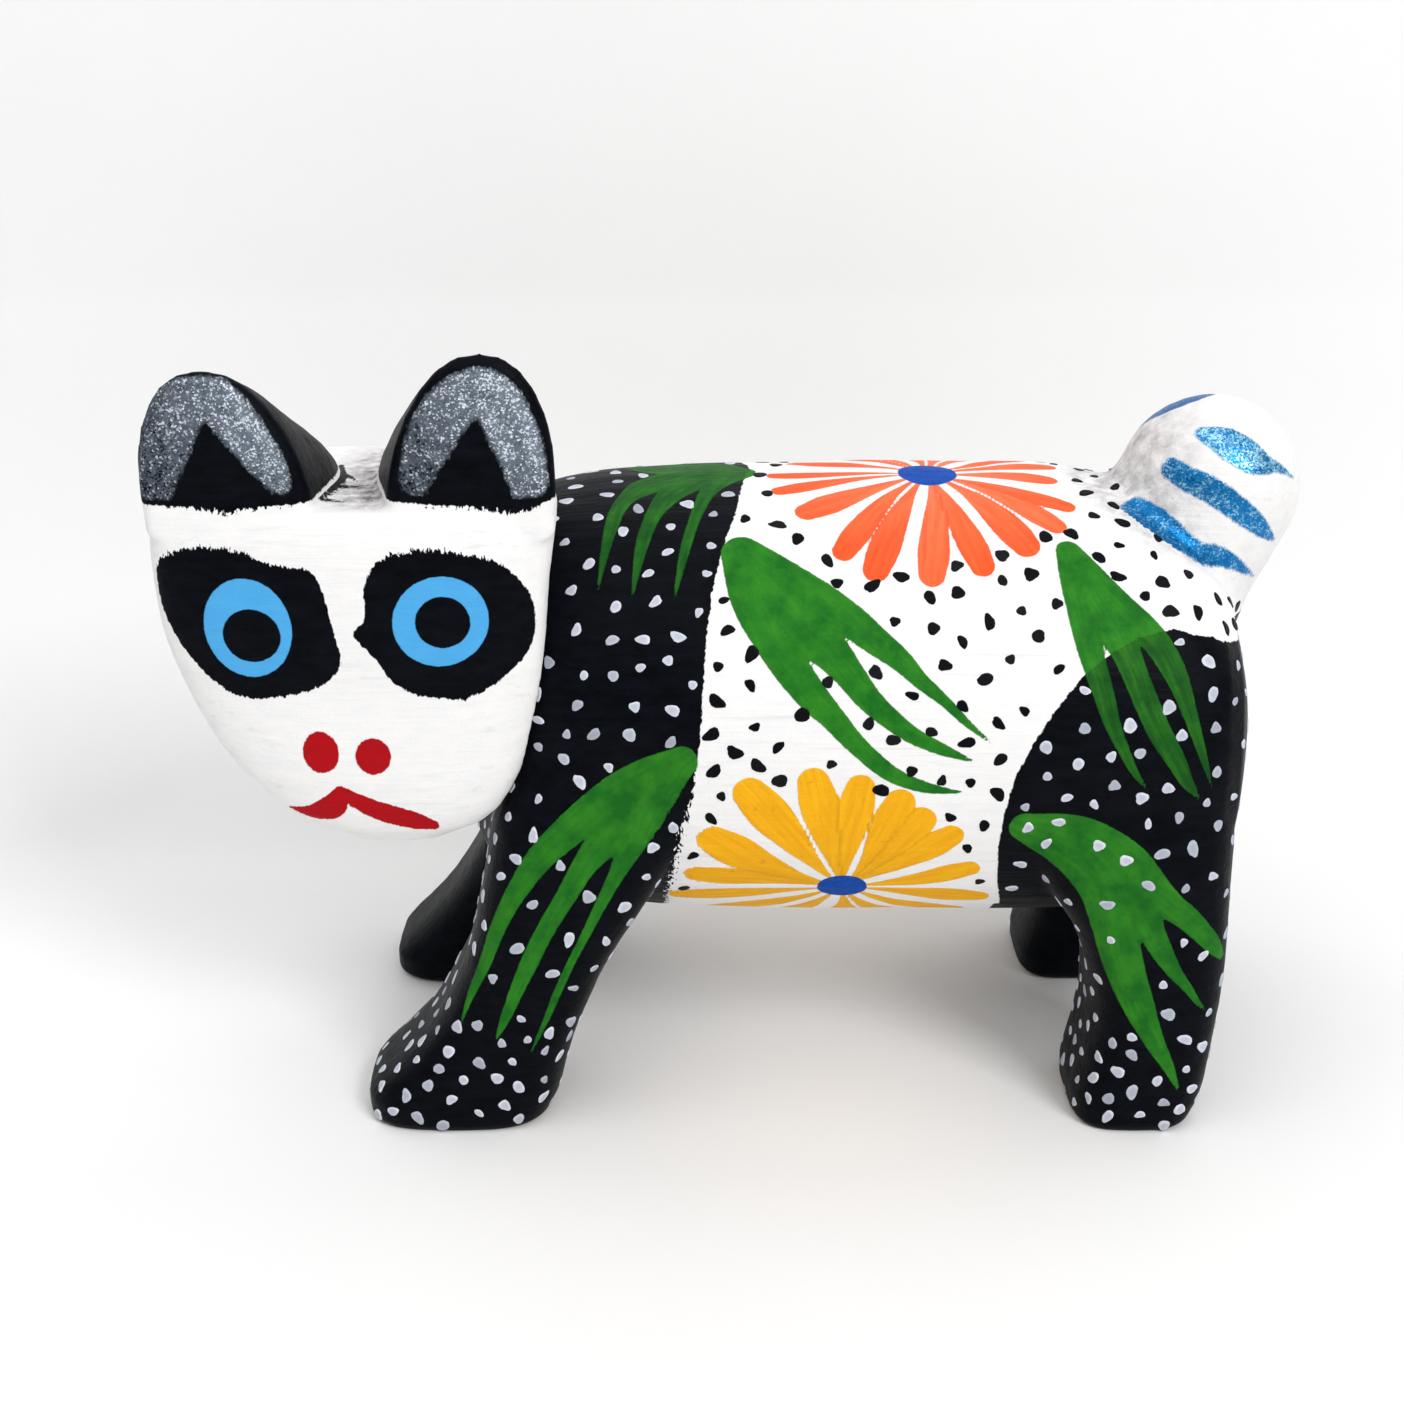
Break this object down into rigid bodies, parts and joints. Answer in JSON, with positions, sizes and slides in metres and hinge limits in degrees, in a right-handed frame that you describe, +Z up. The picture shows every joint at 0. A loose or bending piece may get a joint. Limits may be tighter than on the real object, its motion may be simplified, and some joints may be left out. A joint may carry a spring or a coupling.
{
  "type": "carved animal figurine",
  "caption": "Small carved and painted wooden panda standing on four legs, head turned to one side, with upright ears and a ball tail.",
  "frame": {"origin": "on the ground, under the middle of the figure's bounding box", "axes": "+X from the head end to the tail end, -Y the side that the face looks towards, +Z up"},
  "size_m": [0.1172, 0.0494, 0.0832],
  "materials": {
    "white_painted_wood": "hand-brushed matt acrylic paint, white ground",
    "black_painted_wood": "hand-brushed satin acrylic paint, black ground",
    "raw_copal": "bare whittled copal"
  },
  "bodies": {
    "root": {"torso": "white_painted_wood", "head": "white_painted_wood", "tail": "white_painted_wood", "ear_left": "black_painted_wood", "ear_right": "black_painted_wood", "foreleg_left": "black_painted_wood", "foreleg_right": "black_painted_wood", "hindleg_left": "black_painted_wood", "hindleg_right": "black_painted_wood", "neck_peg": "raw_copal", "tail_peg": "raw_copal", "ear_left_peg": "raw_copal", "ear_right_peg": "raw_copal", "foreleg_left_peg": "raw_copal", "foreleg_right_peg": "raw_copal", "hindleg_left_peg": "raw_copal", "hindleg_right_peg": "raw_copal"}
  },
  "joints": []
}
